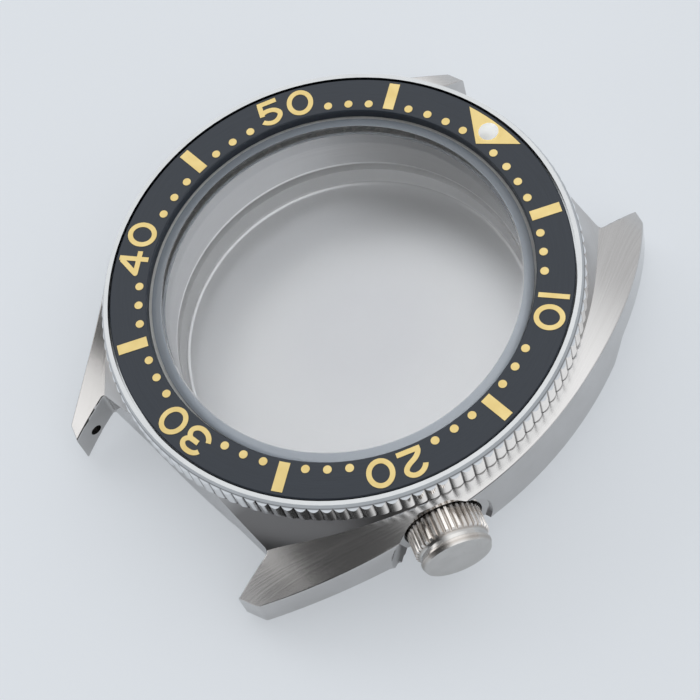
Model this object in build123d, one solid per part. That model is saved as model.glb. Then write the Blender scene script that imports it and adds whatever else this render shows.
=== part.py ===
from build123d import *
import math
import os

# An empty divers' watch case, in millimetres. The origin is on the case axis at the outer
# face of the case back. +Z points out of the crystal, +Y to 12 o'clock and +X to 3 o'clock.
# Names ending in _Z are heights above the origin. Names ending in _REACH are distances from
# the case axis along the crown axis. Angles are in degrees.

# Case outline, seen from above
CASE_HALF_WIDTH = 20.6
FLANK_RADIUS = 32.2
CROWN_FLANK_RADIUS = 33.6
LUG_TIP_Y = 22.96
LUG_CORNER_Y = 22.4
LUG_CORNER_ROUNDING = 0.7
FAR_FLANK_HALF = 12.0
FAR_CORNER_X = 11.41
FAR_CORNER_ROUNDING = 0.3
STRAP_GAP = 20.24
STRAP_WALL_Y = 18.89
GAP_ROUNDING = 0.33

# Case side, seen from 3 o'clock
SEAT_Z = 9.94
TOP_FLAT_HALF = 5.74
TOP_RADIUS = 27.9
BLOCK_Z = 4.25
BLOCK_HALF = 11.4
BLOCK_BLEND = 1.7
ARCH_Z = 5.76
ARCH_FLAT_HALF = 9.0
ARCH_RADIUS = 21.1
EDGE_ROUNDING = 0.14

# Round barrel of the case
BARREL_R = 19.5
BARREL_Z = 3.2
FOOT_R = 18.4
FOOT_Z = 1.66
PEDESTAL_R = 21.5
PEDESTAL_DROP = 3.4
PEDESTAL_HOLLOW = 0.22

# Bore of the case
MOVEMENT_R = 15.0
MOVEMENT_FLOOR_Z = 4.3
CRYSTAL_SEAT_Z = 9.21
THREAD_R = 16.5
THREAD_CLEARANCE = 0.1
UPSTAND_R = 16.75
UPSTAND_Z = 11.35
UPSTAND_BEVEL = 0.1

# Crystal and its gasket
CRYSTAL_R = 15.5
CRYSTAL_THICKNESS = 2.2
CRYSTAL_BEVEL_RUN = 0.9
CRYSTAL_BEVEL_DROP = 0.18
CRYSTAL_UNDER_BEVEL = 0.1
GASKET_WALL = 0.4
GASKET_FOOT = 0.3
GASKET_FOOT_R = 14.95
GASKET_TOP_Z = 11.25

# Bezel
BEZEL_CREST_R = 19.63
BEZEL_GROOVE_R = 19.45
BEZEL_TEETH = 120
BEZEL_LIFT = 0.08
BEZEL_BORE_R = 16.9
BEZEL_FOOT_BEVEL = 0.1
CREST_Z = 11.84
CREST_BEVEL_RISE = 0.12
CREST_BEVEL_RUN = 0.05
LIP_Z = 12.45
LIP_OUTER_R = 19.3
LIP_INNER_R = 18.95
INSERT_SEAT_Z = 11.4
BEZEL_REST_TURN = 1.2

# Bezel retaining wire, bezel gasket and click spring
WIRE_R = 0.22
WIRE_RING_R = 16.85
WIRE_Z = 10.9
WIRE_ARC = 344.0
WIRE_CLEARANCE = 0.03
CASE_GROOVE_R = 16.6
BEZEL_GASKET_INNER_R = 16.8
BEZEL_GASKET_OUTER_R = 17.12
BEZEL_GASKET_CLEARANCE = 0.05
BEZEL_GASKET_HEIGHT = 0.48
CLICK_INNER_R = 17.3
CLICK_OUTER_R = 18.2
CLICK_THICKNESS = 0.2
CLICK_RECESS = 0.4
CLICK_CLEARANCE = 0.05
NOTCH_INNER_R = 17.35
NOTCH_OUTER_R = 18.35
NOTCH_DEPTH = 0.25
NOTCH_RUN = 0.85
TONGUES = 3
TONGUE_INNER_R = 17.45
TONGUE_OUTER_R = 17.85
TONGUE_LENGTH = 3.1
TONGUE_TIP_LENGTH = 0.7
TONGUE_CLEARANCE = 0.06

# Bezel insert and its markings
INSERT_OUTER_R = 18.8
INSERT_INNER_R = 15.74
INSERT_THICKNESS = 0.9
INSERT_BEVEL = 0.08
ADHESIVE_THICKNESS = 0.1
ADHESIVE_INNER_R = 16.95
ADHESIVE_OUTER_R = 18.75
MARK_THICKNESS = 0.04
MARK_INNER_R = 16.03
MARK_OUTER_R = 18.5
DOT_R = 0.34
DOT_RING_R = 16.37
BAR_WIDTH = 0.89
STROKE = 0.42
ROUND_DIGIT_WIDTH = 2.24
LEADING_DIGIT_WIDTH = 2.1
DIGIT_GAP = 0.41
ONE_GAP = 0.55
TWELVE_MARK_HALF_WIDTH = 2.85
PEARL_Y = 17.52
PEARL_R = 0.82
PEARL_CUP_WALL = 0.1
PEARL_CUP_DEPTH = 0.6
PEARL_CUP_FLOOR = 0.15
PEARL_DOME_RISE = 0.26

# Where the markings stand, in degrees clockwise from 12 o'clock
MINUTE_ANGLE = 6
BAR_ANGLES = (30, 90, 150, 210, 270, 330)
NUMERAL_ANGLES = (60, 120, 180, 240, 300)

# Centre lines of the digits, with 1 at the top of the line and -1 at its foot
TWO_CURVE_SHARES = (
    (-0.86, 0.36), (-0.64, 0.71), (0.03, 1), (0.51, 0.82), (0.67, 0.5), (0.49, 0.16),
    (-0.12, -0.23), (-0.54, -0.58), (-0.68, -0.92),
)
TWO_BASE_SHARES = ((-0.88, -1), (0.98, -1))
THREE_TOP_SHARES = (
    (-0.81, 0.57), (-0.51, 0.89), (0, 1), (0.49, 0.91), (0.8, 0.52), (0.54, 0.13), (0.2, 0.07),
    (-0.31, 0.07),
)
THREE_FOOT_SHARES = (
    (0.2, 0.07), (0.59, -0.02), (0.8, -0.48), (0.49, -0.9), (0, -1), (-0.59, -0.82), (-0.96, -0.37),
)
FOUR_BAR_SHARES = ((-1.01, -0.4), (1, -0.4))
FOUR_SLANT_SHARES = ((-1.01, -0.4), (0.16, 1))
FOUR_POST_SHARE = 0.3
FIVE_BAR_SHARES = ((-0.85, 1), (0.76, 1))
FIVE_STEM_SHARES = ((-0.67, 1), (-0.75, -0.15))
FIVE_BELLY_SHARES = (
    (-0.74, 0.06), (-0.44, 0.2), (0, 0.22), (0.39, 0.08), (0.7, -0.33), (0.44, -0.8), (0, -1),
    (-0.44, -0.93), (-0.84, -0.66),
)

# Crown recess in the case
CROWN_ANGLE = -23.06
CROWN_Z = 6.17
RECESS_R = 3.85
RECESS_REACH = 20.1
RECESS_MOUTH_R = 5.2
RECESS_MOUTH_REACH = 22.1
CROWN_POCKET_CLEARANCE = 0.2
TUBE_HOLE_R = 1.5

# Crown tube
TUBE_INNER_REACH = 15.3
TUBE_SHOULDER_REACH = 18.8
TUBE_HEAD_LENGTH = 2.8
TUBE_THREAD_R = 1.8
TUBE_BORE_R = 0.88
TUBE_WIDE_BORE_R = 1.25
TUBE_STEP_DEPTH = 3.0
TUBE_TIP_BEVEL = 0.12
RING_GROOVE_R = 1.56
RING_GROOVE_WIDTH = 0.42
RING_SECTION_R = 0.17
RING_DEPTHS = (1.9, 0.9)
RING_CLEARANCE = 0.01

# Crown cap
CROWN_R = 3.05
CROWN_ROOT_R = 2.86
CROWN_RIDGES = 38
CROWN_RIDGE_TOP_SHARE = 0.42
CROWN_RIDGE_FOOT_SHARE = 0.78
CROWN_GAP = 0.15
CROWN_NECK_LENGTH = 0.28
CROWN_NECK_R = 2.72
CROWN_RIM_R = 2.9
CROWN_RIM_LENGTH = 0.25
CROWN_FACE_R = 2.75
CROWN_FACE_RISE = 0.37
CROWN_BEVEL = 0.2
SOCKET_CLEARANCE = 0.05
PIPE_R = 1.2
PIPE_BORE_R = 0.86
PIPE_INSET = 2.6
PIPE_LIP_LENGTH = 0.3
PIPE_LIP_CLEARANCE = 0.06

# Crown post, spring, gasket and washer
POST_TAIL_LENGTH = 2.5
POST_R = 0.8
POST_PIPE_GAP = 0.2
POST_NECK_R = 0.5
POST_HEAD_LENGTH = 0.3
STEM_HOLE_R = 0.45
STEM_HOLE_DEPTH = 2.0
SPRING_WIRE_R = 0.09
SPRING_R = 0.6
SPRING_PITCH = 0.26
SPRING_LENGTH = 1.0
CROWN_GASKET_THICKNESS = 0.5
CROWN_GASKET_CLEARANCE = 0.05
CROWN_WASHER_THICKNESS = 0.1

# Case back and its gasket
BACK_R = 18.2
BACK_BEVEL = 0.25
BACK_PLATE_Z = 1.6
BACK_RING_Z = 3.3
BACK_RING_INNER_R = 15.0
BACK_FLOOR_Z = 1.25
BACK_ROUNDING = 0.4
BACK_RING_BEVEL = 0.15
WRENCH_SLOTS = 6
WRENCH_SLOT_WIDTH = 2.2
WRENCH_SLOT_DEPTH = 0.9
BACK_GASKET_INNER_R = 16.95
BACK_GASKET_OUTER_R = 17.65
BACK_GASKET_HEIGHT = 0.46

# Spring-bar holes
SPRING_BAR_Y = 21.1
SPRING_BAR_Z = 3.15
SPRING_BAR_R = 0.5
SPRING_BAR_DEPTH = 1.2
SPRING_BAR_EXTRA_DEPTH = 0.1

QUARTER_TURN = 90
HALF_TURN = 180
FULL_TURN = 360
MIDDLE_SHARE = 0.5
LEVEL_EDGE_SHARE = 0.87

STRAP_HALF_GAP = STRAP_GAP / 2
GASKET_OUTER_R = CRYSTAL_R + GASKET_WALL
CRYSTAL_Z = CRYSTAL_SEAT_Z + GASKET_FOOT
CRYSTAL_TOP_Z = CRYSTAL_Z + CRYSTAL_THICKNESS
BEZEL_Z = SEAT_Z + BEZEL_LIFT
INSERT_Z = INSERT_SEAT_Z + ADHESIVE_THICKNESS
INSERT_TOP_Z = INSERT_Z + INSERT_THICKNESS
MARK_TOP_Z = INSERT_TOP_Z + MARK_THICKNESS
PEARL_CUP_R = PEARL_R + PEARL_CUP_WALL
BACK_RING_R = THREAD_R - THREAD_CLEARANCE
POCKET_R = CROWN_R + CROWN_POCKET_CLEARANCE
TUBE_END_REACH = TUBE_SHOULDER_REACH + TUBE_HEAD_LENGTH
GASKET_END_REACH = TUBE_END_REACH + CROWN_GASKET_THICKNESS
SOCKET_R = TUBE_THREAD_R + SOCKET_CLEARANCE
SOCKET_END_REACH = GASKET_END_REACH + CROWN_WASHER_THICKNESS
CROWN_START_REACH = TUBE_SHOULDER_REACH + CROWN_GAP
CROWN_NECK_REACH = SOCKET_END_REACH + CROWN_BEVEL
CROWN_RIM_REACH = CROWN_NECK_REACH + CROWN_NECK_LENGTH
CROWN_END_REACH = CROWN_RIM_REACH + CROWN_RIM_LENGTH + CROWN_FACE_RISE
PIPE_START_REACH = TUBE_END_REACH - PIPE_INSET
POST_STEP_REACH = PIPE_START_REACH - POST_PIPE_GAP
POST_INNER_REACH = POST_STEP_REACH - POST_TAIL_LENGTH
POST_END_REACH = SOCKET_END_REACH - SPRING_LENGTH


def sag(radius, run):
    """How far an arc of this radius falls from its top over a run sideways."""
    return radius - math.sqrt(radius**2 - run**2)


def disc(radius, low, high):
    return Pos(0, 0, low) * Cylinder(radius, high - low, align=(Align.CENTER, Align.CENTER, Align.MIN))


def ring(outer, inner, low, high):
    return disc(outer, low, high) - disc(inner, low, high)


def turned(points):
    """A solid of revolution about Z from (radius, height) points."""
    line = Polyline(*[(radius, 0, height) for radius, height in points], close=True)
    return revolve(make_face(line), Axis.Z, FULL_TURN)


def on_crown_axis(shape):
    """Place a shape built up Z so that its height runs out along the crown axis."""
    return Pos(0, 0, CROWN_Z) * Rot(0, 0, CROWN_ANGLE) * Rot(0, QUARTER_TURN, 0) * shape


def on_bezel(shape):
    """Turn a shape to where the bezel stands at rest."""
    return Rot(0, 0, BEZEL_REST_TURN) * shape


def flank_point(y, radius):
    return CASE_HALF_WIDTH - sag(radius, y), y


def near_flank(radius, side):
    """Half of the flank at 3 o'clock, from the middle of the case to the lug's corner."""
    middle = flank_point(LUG_CORNER_Y / 2, radius)
    corner = flank_point(LUG_CORNER_Y, radius)
    places = [(CASE_HALF_WIDTH, 0), middle, corner]
    return ThreePointArc(*[(x, side * y) for x, y in places])


def far_flank(side):
    """Half of the flank at 9 o'clock: round about the case axis, then hollow along the lug."""
    turn = math.degrees(math.asin(FAR_FLANK_HALF / CASE_HALF_WIDTH))
    round_part = CenterArc((0, 0), CASE_HALF_WIDTH, HALF_TURN, -side * turn)
    corner = (-FAR_CORNER_X, side * LUG_CORNER_Y)
    lug_part = TangentArc(round_part @ 1, corner, tangent=round_part % 1)
    return [round_part, lug_part]


def lug_ends(near_radius, side):
    """The line across both lug tips of one end, from corner to corner."""
    near_x = flank_point(LUG_CORNER_Y, near_radius)[0]
    places = [
        (near_x, LUG_CORNER_Y),
        (STRAP_HALF_GAP, LUG_TIP_Y),
        (-STRAP_HALF_GAP, LUG_TIP_Y),
        (-FAR_CORNER_X, LUG_CORNER_Y),
    ]
    return Polyline(*[(x, side * y) for x, y in places])


def case_outline():
    """The case seen from above, before the strap gaps are cut."""
    edges = far_flank(1) + far_flank(-1)
    for radius, side in ((FLANK_RADIUS, 1), (CROWN_FLANK_RADIUS, -1)):
        edges += [near_flank(radius, side), lug_ends(radius, side)]
    outline = make_face(edges)
    for side, rounding in ((1, LUG_CORNER_ROUNDING), (-1, FAR_CORNER_ROUNDING)):
        corners = [v for v in outline.vertices() if math.isclose(abs(v.Y), LUG_CORNER_Y)]
        outline = fillet([v for v in corners if v.X * side > 0], rounding)
    return outline


def side_half(side):
    """Edges of the side view from 12 o'clock's or 6 o'clock's end to the middle."""
    end_y = LUG_TIP_Y + EDGE_ROUNDING
    top_run = end_y - TOP_FLAT_HALF
    arch_run = end_y - ARCH_FLAT_HALF
    blend_y = BLOCK_HALF + BLOCK_BLEND
    blend_z = ARCH_Z - sag(ARCH_RADIUS, blend_y - ARCH_FLAT_HALF)
    top_end = (end_y, SEAT_Z - sag(TOP_RADIUS, top_run))
    top_middle = (TOP_FLAT_HALF + top_run / 2, SEAT_Z - sag(TOP_RADIUS, top_run / 2))
    arch_end = (end_y, ARCH_Z - sag(ARCH_RADIUS, arch_run))
    arch_middle_y = (end_y + blend_y) / 2
    arch_middle = (arch_middle_y, ARCH_Z - sag(ARCH_RADIUS, arch_middle_y - ARCH_FLAT_HALF))

    def place(point):
        return (0, side * point[0], point[1])

    return [
        Line(place((0, SEAT_Z)), place((TOP_FLAT_HALF, SEAT_Z))),
        ThreePointArc(place((TOP_FLAT_HALF, SEAT_Z)), place(top_middle), place(top_end)),
        Line(place(top_end), place(arch_end)),
        ThreePointArc(place(arch_end), place(arch_middle), place((blend_y, blend_z))),
        Line(place((blend_y, blend_z)), place((BLOCK_HALF, BLOCK_Z))),
        Line(place((BLOCK_HALF, BLOCK_Z)), place((0, BLOCK_Z))),
    ]


def side_block():
    """The side view of the case, extruded across its whole width."""
    profile = make_face([edge for side in (1, -1) for edge in side_half(side)])
    return extrude(profile, CASE_HALF_WIDTH + LUG_CORNER_ROUNDING, dir=(1, 0, 0), both=True)


def strap_gaps():
    """What is cut away between each pair of lugs."""
    depth = LUG_TIP_Y - STRAP_WALL_Y
    length = depth + GAP_ROUNDING
    rectangle = Rectangle(STRAP_GAP, length, align=(Align.CENTER, Align.MIN))
    wall_corners = rectangle.vertices().sort_by(Axis.Y)[:2]
    plan = Pos(0, STRAP_WALL_Y) * fillet(wall_corners, GAP_ROUNDING)
    gap = extrude(plan, LIP_Z)
    return gap + Rot(0, 0, HALF_TURN) * gap


def is_rim(edge):
    """True for the long edges round the top of the case and round the underside of its lugs."""
    middle = edge @ MIDDLE_SHARE
    upright = abs((edge % MIDDLE_SHARE).Z) > LEVEL_EDGE_SHARE
    across = edge.geom_type == GeomType.LINE and edge.length > CASE_HALF_WIDTH
    under_block = abs(middle.Y) < BLOCK_HALF + BLOCK_BLEND and middle.Z < ARCH_Z
    return not (upright or across or under_block)


def wings():
    """The four lugs and the flanks between them, with their edges slightly rounded."""
    blank = (extrude(case_outline(), LIP_Z) & side_block()) - strap_gaps()
    return fillet([edge for edge in blank.edges() if is_rim(edge)], EDGE_ROUNDING)


def barrel():
    return turned([(0, SEAT_Z), (0, FOOT_Z), (FOOT_R, FOOT_Z), (BARREL_R, BARREL_Z), (BARREL_R, SEAT_Z)])


def pedestal():
    """The hollow-sided cone that carries the bezel between the lugs."""
    foot_z = SEAT_Z - PEDESTAL_DROP
    slope = math.atan2(PEDESTAL_DROP, PEDESTAL_R - BARREL_R)
    middle = (
        (BARREL_R + PEDESTAL_R) / 2 - PEDESTAL_HOLLOW * math.sin(slope),
        (SEAT_Z + foot_z) / 2 - PEDESTAL_HOLLOW * math.cos(slope),
    )
    side = ThreePointArc((BARREL_R, 0, SEAT_Z), (middle[0], 0, middle[1]), (PEDESTAL_R, 0, foot_z))
    base_z = BLOCK_Z + EDGE_ROUNDING
    rest = Polyline(
        (PEDESTAL_R, 0, foot_z),
        (PEDESTAL_R, 0, base_z),
        (0, 0, base_z),
        (0, 0, SEAT_Z),
        (BARREL_R, 0, SEAT_Z),
    )
    return revolve(make_face([side, rest]), Axis.Z, FULL_TURN)


def bore_cut():
    """Everything turned out of the middle of the case."""
    groove_half = WIRE_R + WIRE_CLEARANCE
    cut = disc(THREAD_R, 0, MOVEMENT_FLOOR_Z)
    cut += disc(MOVEMENT_R, 0, CRYSTAL_SEAT_Z)
    cut += disc(GASKET_OUTER_R, CRYSTAL_SEAT_Z, LIP_Z)
    cut += ring(UPSTAND_R + WIRE_R, CASE_GROOVE_R, WIRE_Z - groove_half, WIRE_Z + groove_half)
    cut += ring(BACK_GASKET_OUTER_R, BACK_GASKET_INNER_R, 0, BACK_PLATE_Z + BACK_GASKET_HEIGHT)
    click_outer = CLICK_OUTER_R + CLICK_CLEARANCE
    click_inner = CLICK_INNER_R - CLICK_CLEARANCE
    cut += ring(click_outer, click_inner, SEAT_Z - CLICK_RECESS, LIP_Z)
    return cut


def crown_cut():
    """The flared recess round the crown, its pocket and the hole for its tube."""
    flare = turned([
        (0, RECESS_REACH),
        (RECESS_R, RECESS_REACH),
        (RECESS_MOUTH_R, RECESS_MOUTH_REACH),
        (RECESS_MOUTH_R, LUG_TIP_Y),
        (0, LUG_TIP_Y),
    ])
    pocket = disc(POCKET_R, TUBE_SHOULDER_REACH, LUG_TIP_Y)
    hole = disc(TUBE_HOLE_R, MOVEMENT_R / 2, LUG_TIP_Y)
    return on_crown_axis(flare + pocket + hole)


def spring_bar_holes():
    """Four blind holes in the inner faces of the lugs; the pair at 6 o'clock is deeper."""
    holes = []
    for side, depth in ((1, SPRING_BAR_DEPTH), (-1, SPRING_BAR_DEPTH + SPRING_BAR_EXTRA_DEPTH)):
        hole = Rot(0, QUARTER_TURN, 0) * Cylinder(SPRING_BAR_R, STRAP_GAP + depth * 2)
        holes.append(Pos(0, side * SPRING_BAR_Y, SPRING_BAR_Z) * hole)
    return holes


def mid_case():
    upstand = turned([
        (0, SEAT_Z - CLICK_RECESS),
        (UPSTAND_R, SEAT_Z - CLICK_RECESS),
        (UPSTAND_R, UPSTAND_Z - UPSTAND_BEVEL),
        (UPSTAND_R - UPSTAND_BEVEL, UPSTAND_Z),
        (0, UPSTAND_Z),
    ])
    plan = extrude(case_outline(), LIP_Z)
    body = wings() + (barrel() - strap_gaps()) + ((pedestal() & plan) - strap_gaps()) + upstand
    return body - bore_cut() - crown_cut() - spring_bar_holes()


def crystal():
    under = CRYSTAL_UNDER_BEVEL
    return turned([
        (0, CRYSTAL_Z),
        (CRYSTAL_R - under, CRYSTAL_Z),
        (CRYSTAL_R, CRYSTAL_Z + under),
        (CRYSTAL_R, CRYSTAL_TOP_Z - CRYSTAL_BEVEL_DROP),
        (CRYSTAL_R - CRYSTAL_BEVEL_RUN, CRYSTAL_TOP_Z),
        (0, CRYSTAL_TOP_Z),
    ])


def crystal_gasket():
    wall = ring(GASKET_OUTER_R, CRYSTAL_R, CRYSTAL_Z, GASKET_TOP_Z)
    foot = ring(GASKET_OUTER_R, GASKET_FOOT_R, CRYSTAL_SEAT_Z, CRYSTAL_Z)
    return wall + foot


def tongue():
    """One tongue of the click spring, with its tip on the +X axis pointing along +Y."""
    low = SEAT_Z - CLICK_RECESS
    tip_z = BEZEL_Z + NOTCH_DEPTH - TONGUE_CLEARANCE
    bend_z = BEZEL_Z - CLICK_THICKNESS / TONGUES
    bend_y = -TONGUE_TIP_LENGTH
    profile = Polyline(
        (0, -TONGUE_LENGTH, low),
        (0, -TONGUE_LENGTH, low + CLICK_THICKNESS),
        (0, bend_y, bend_z),
        (0, -TONGUE_CLEARANCE, tip_z),
        (0, -TONGUE_CLEARANCE, tip_z - CLICK_THICKNESS),
        (0, bend_y, bend_z - CLICK_THICKNESS),
        (0, CLICK_THICKNESS - TONGUE_LENGTH, low),
        close=True,
    )
    strip = extrude(make_face(profile), TONGUE_OUTER_R - TONGUE_INNER_R, dir=(1, 0, 0))
    return Pos(TONGUE_INNER_R, 0, 0) * strip


def click_spring():
    low = SEAT_Z - CLICK_RECESS
    spring = ring(CLICK_OUTER_R, CLICK_INNER_R, low, low + CLICK_THICKNESS)
    for number in range(TONGUES):
        spring += Rot(0, 0, number * FULL_TURN / TONGUES) * tongue()
    return on_bezel(spring)


def bezel_gasket():
    return ring(BEZEL_GASKET_OUTER_R, BEZEL_GASKET_INNER_R, SEAT_Z, SEAT_Z + BEZEL_GASKET_HEIGHT)


def toothed_prism():
    """The bezel's edge: rounded teeth with a sharp groove between each two."""
    step = FULL_TURN / BEZEL_TEETH

    def at(radius, turns):
        angle = math.radians(turns * step)
        return radius * math.cos(angle), radius * math.sin(angle)

    arcs = []
    for number in range(BEZEL_TEETH):
        start = at(BEZEL_GROOVE_R, number - 1 / 2)
        end = at(BEZEL_GROOVE_R, number + 1 / 2)
        arcs.append(ThreePointArc(start, at(BEZEL_CREST_R, number), end))
    return Pos(0, 0, BEZEL_Z) * extrude(make_face(arcs), LIP_Z - BEZEL_Z)


def ratchet_notches():
    """The saw-tooth notches in the bezel's underside that the click spring drops into."""
    profile = Polyline(
        (0, 0, BEZEL_Z - BEZEL_LIFT),
        (0, 0, BEZEL_Z + NOTCH_DEPTH),
        (0, -NOTCH_RUN, BEZEL_Z),
        (0, -NOTCH_RUN, BEZEL_Z - BEZEL_LIFT),
        close=True,
    )
    notch = extrude(make_face(profile), NOTCH_OUTER_R - NOTCH_INNER_R, dir=(1, 0, 0))
    notch = Pos(NOTCH_INNER_R, 0, 0) * notch
    return [Rot(0, 0, number * FULL_TURN / BEZEL_TEETH) * notch for number in range(BEZEL_TEETH)]


def bezel_ring():
    relief_r = BEZEL_GASKET_OUTER_R + BEZEL_GASKET_CLEARANCE
    relief_z = SEAT_Z + BEZEL_GASKET_HEIGHT
    groove_r = WIRE_RING_R + WIRE_R
    groove_half = WIRE_R + WIRE_CLEARANCE
    profile = turned([
        (relief_r, BEZEL_Z),
        (BEZEL_CREST_R - BEZEL_FOOT_BEVEL, BEZEL_Z),
        (BEZEL_CREST_R, BEZEL_Z + BEZEL_FOOT_BEVEL),
        (BEZEL_CREST_R, CREST_Z - CREST_BEVEL_RISE),
        (BEZEL_CREST_R - CREST_BEVEL_RUN, CREST_Z),
        (LIP_OUTER_R, LIP_Z),
        (LIP_INNER_R, LIP_Z),
        (LIP_INNER_R, INSERT_SEAT_Z),
        (BEZEL_BORE_R, INSERT_SEAT_Z),
        (BEZEL_BORE_R, WIRE_Z + groove_half),
        (groove_r, WIRE_Z + groove_half),
        (groove_r, WIRE_Z - groove_half),
        (BEZEL_BORE_R, WIRE_Z - groove_half),
        (BEZEL_BORE_R, relief_z),
        (relief_r, relief_z),
    ])
    return on_bezel((profile & toothed_prism()) - ratchet_notches())


def bezel_wire():
    """The split wire that holds the bezel on the case."""
    section = Plane.XZ * Pos(WIRE_RING_R, WIRE_Z) * Circle(WIRE_R)
    return on_bezel(revolve(section, Axis.Z, WIRE_ARC))


def insert_adhesive():
    return on_bezel(ring(ADHESIVE_OUTER_R, ADHESIVE_INNER_R, INSERT_SEAT_Z, INSERT_Z))


def pearl_hole():
    """The room for the pearl and its cup in the insert and in the mark on it."""
    low = INSERT_TOP_Z - PEARL_CUP_DEPTH
    return Pos(0, PEARL_Y, 0) * disc(PEARL_CUP_R, low, MARK_TOP_Z + PEARL_DOME_RISE)


def bezel_insert():
    top_bevel = INSERT_TOP_Z - INSERT_BEVEL
    plate = turned([
        (INSERT_INNER_R, INSERT_Z),
        (INSERT_OUTER_R, INSERT_Z),
        (INSERT_OUTER_R, top_bevel),
        (INSERT_OUTER_R - INSERT_BEVEL, INSERT_TOP_Z),
        (INSERT_INNER_R + INSERT_BEVEL, INSERT_TOP_Z),
        (INSERT_INNER_R, top_bevel),
    ])
    return on_bezel(plate - pearl_hole())


def at_angle(angle, shape):
    return Rot(0, 0, -angle) * shape


def engraved(faces):
    """Thin raised marks on top of the insert, one solid for each face."""
    marks = [extrude(Pos(0, 0, INSERT_TOP_Z) * face, MARK_THICKNESS) for face in faces]
    return on_bezel(Compound(children=[solid for mark in marks for solid in mark.solids()]))


def dot_angles():
    """Every minute but those that hold a bar, a numeral or the triangle, or stand beside a numeral."""
    beside = [angle + side for angle in NUMERAL_ANGLES for side in (-MINUTE_ANGLE, MINUTE_ANGLE)]
    taken = [0, *BAR_ANGLES, *NUMERAL_ANGLES, *beside]
    return [angle for angle in range(0, FULL_TURN, MINUTE_ANGLE) if angle not in taken]


def insert_dots():
    return engraved([at_angle(angle, Pos(0, DOT_RING_R) * Circle(DOT_R)) for angle in dot_angles()])


def insert_bars():
    height = MARK_OUTER_R - MARK_INNER_R
    bar = Pos(0, MARK_INNER_R + height / 2) * Rectangle(BAR_WIDTH, height)
    return engraved([at_angle(angle, bar) for angle in BAR_ANGLES])


def digit_half_height():
    return (MARK_OUTER_R - MARK_INNER_R) / 2


def centre_line(shares):
    """Points of a digit's centre line from their shares of its half height."""
    scale = digit_half_height() - STROKE / 2
    return [(x * scale, y * scale) for x, y in shares]


def straight(shares):
    return trace(Line(*centre_line(shares)), line_width=STROKE)


def curve(shares):
    return trace(Spline(*centre_line(shares)), line_width=STROKE)


def round_end(shares):
    """Rounds the corner where two strokes meet at the first of these points."""
    return Pos(*centre_line(shares)[0]) * Circle(STROKE / 2)


def digit_zero():
    half_height = digit_half_height()
    half_width = ROUND_DIGIT_WIDTH / 2
    return Ellipse(half_width, half_height) - Ellipse(half_width - STROKE, half_height - STROKE)


def digit_one():
    return Rectangle(STROKE, digit_half_height() * 2)


def digit_two():
    return curve(TWO_CURVE_SHARES) + straight(TWO_BASE_SHARES)


def digit_three():
    return curve(THREE_TOP_SHARES) + curve(THREE_FOOT_SHARES)


def digit_four():
    post_x = centre_line([(FOUR_POST_SHARE, 0)])[0][0]
    slant = straight(FOUR_SLANT_SHARES) + round_end(FOUR_SLANT_SHARES)
    return slant + straight(FOUR_BAR_SHARES) + Pos(post_x, 0) * digit_one()


def digit_five():
    stem = straight(FIVE_STEM_SHARES)
    return straight(FIVE_BAR_SHARES) + stem + curve(FIVE_BELLY_SHARES)


def numeral(angle, leading, width, gap):
    """Two digits, each with its top pointing away from the case axis."""
    radius = (MARK_INNER_R + MARK_OUTER_R) / 2
    total = width + gap + ROUND_DIGIT_WIDTH
    lead_turn = math.degrees((total - width) / 2 / radius)
    zero_turn = math.degrees((total - ROUND_DIGIT_WIDTH) / 2 / radius)
    lead = Rot(0, 0, lead_turn) * Pos(0, radius) * leading
    zero = Rot(0, 0, -zero_turn) * Pos(0, radius) * digit_zero()
    return [at_angle(angle, lead), at_angle(angle, zero)]


def insert_numerals():
    faces = numeral(NUMERAL_ANGLES[0], digit_one(), STROKE, ONE_GAP)
    others = (digit_two(), digit_three(), digit_four(), digit_five())
    for angle, leading in zip(NUMERAL_ANGLES[1:], others):
        faces += numeral(angle, leading, LEADING_DIGIT_WIDTH, DIGIT_GAP)
    return engraved(faces)


def insert_triangle():
    """The mark at 12 o'clock: its base follows the insert's edge and the pearl stands in it."""
    turn = math.degrees(math.asin(TWELVE_MARK_HALF_WIDTH / MARK_OUTER_R))
    left = CenterArc((0, 0), MARK_OUTER_R, QUARTER_TURN, turn)
    right = CenterArc((0, 0), MARK_OUTER_R, QUARTER_TURN, -turn)
    triangle = make_face([left, right, Polyline(left @ 1, (0, MARK_INNER_R), right @ 1)])
    mark = extrude(Pos(0, 0, INSERT_TOP_Z) * triangle, MARK_THICKNESS)
    return on_bezel(mark - pearl_hole())


def pearl_cup():
    low = INSERT_TOP_Z - PEARL_CUP_DEPTH
    cup = disc(PEARL_CUP_R, low, MARK_TOP_Z)
    cup -= disc(PEARL_R, low + PEARL_CUP_FLOOR, LIP_Z)
    return on_bezel(Pos(0, PEARL_Y, 0) * cup)


def pearl():
    low = INSERT_TOP_Z - PEARL_CUP_DEPTH + PEARL_CUP_FLOOR
    top_z = MARK_TOP_Z + PEARL_DOME_RISE
    dome_r = (PEARL_R**2 + PEARL_DOME_RISE**2) / (PEARL_DOME_RISE * 2)
    shoulder = (PEARL_R / 2, 0, top_z - sag(dome_r, PEARL_R / 2))
    dome = ThreePointArc((PEARL_R, 0, MARK_TOP_Z), shoulder, (0, 0, top_z))
    sides = Polyline((0, 0, top_z), (0, 0, low), (PEARL_R, 0, low), (PEARL_R, 0, MARK_TOP_Z))
    return on_bezel(Pos(0, PEARL_Y, 0) * revolve(make_face([dome, sides]), Axis.Z, FULL_TURN))


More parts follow.
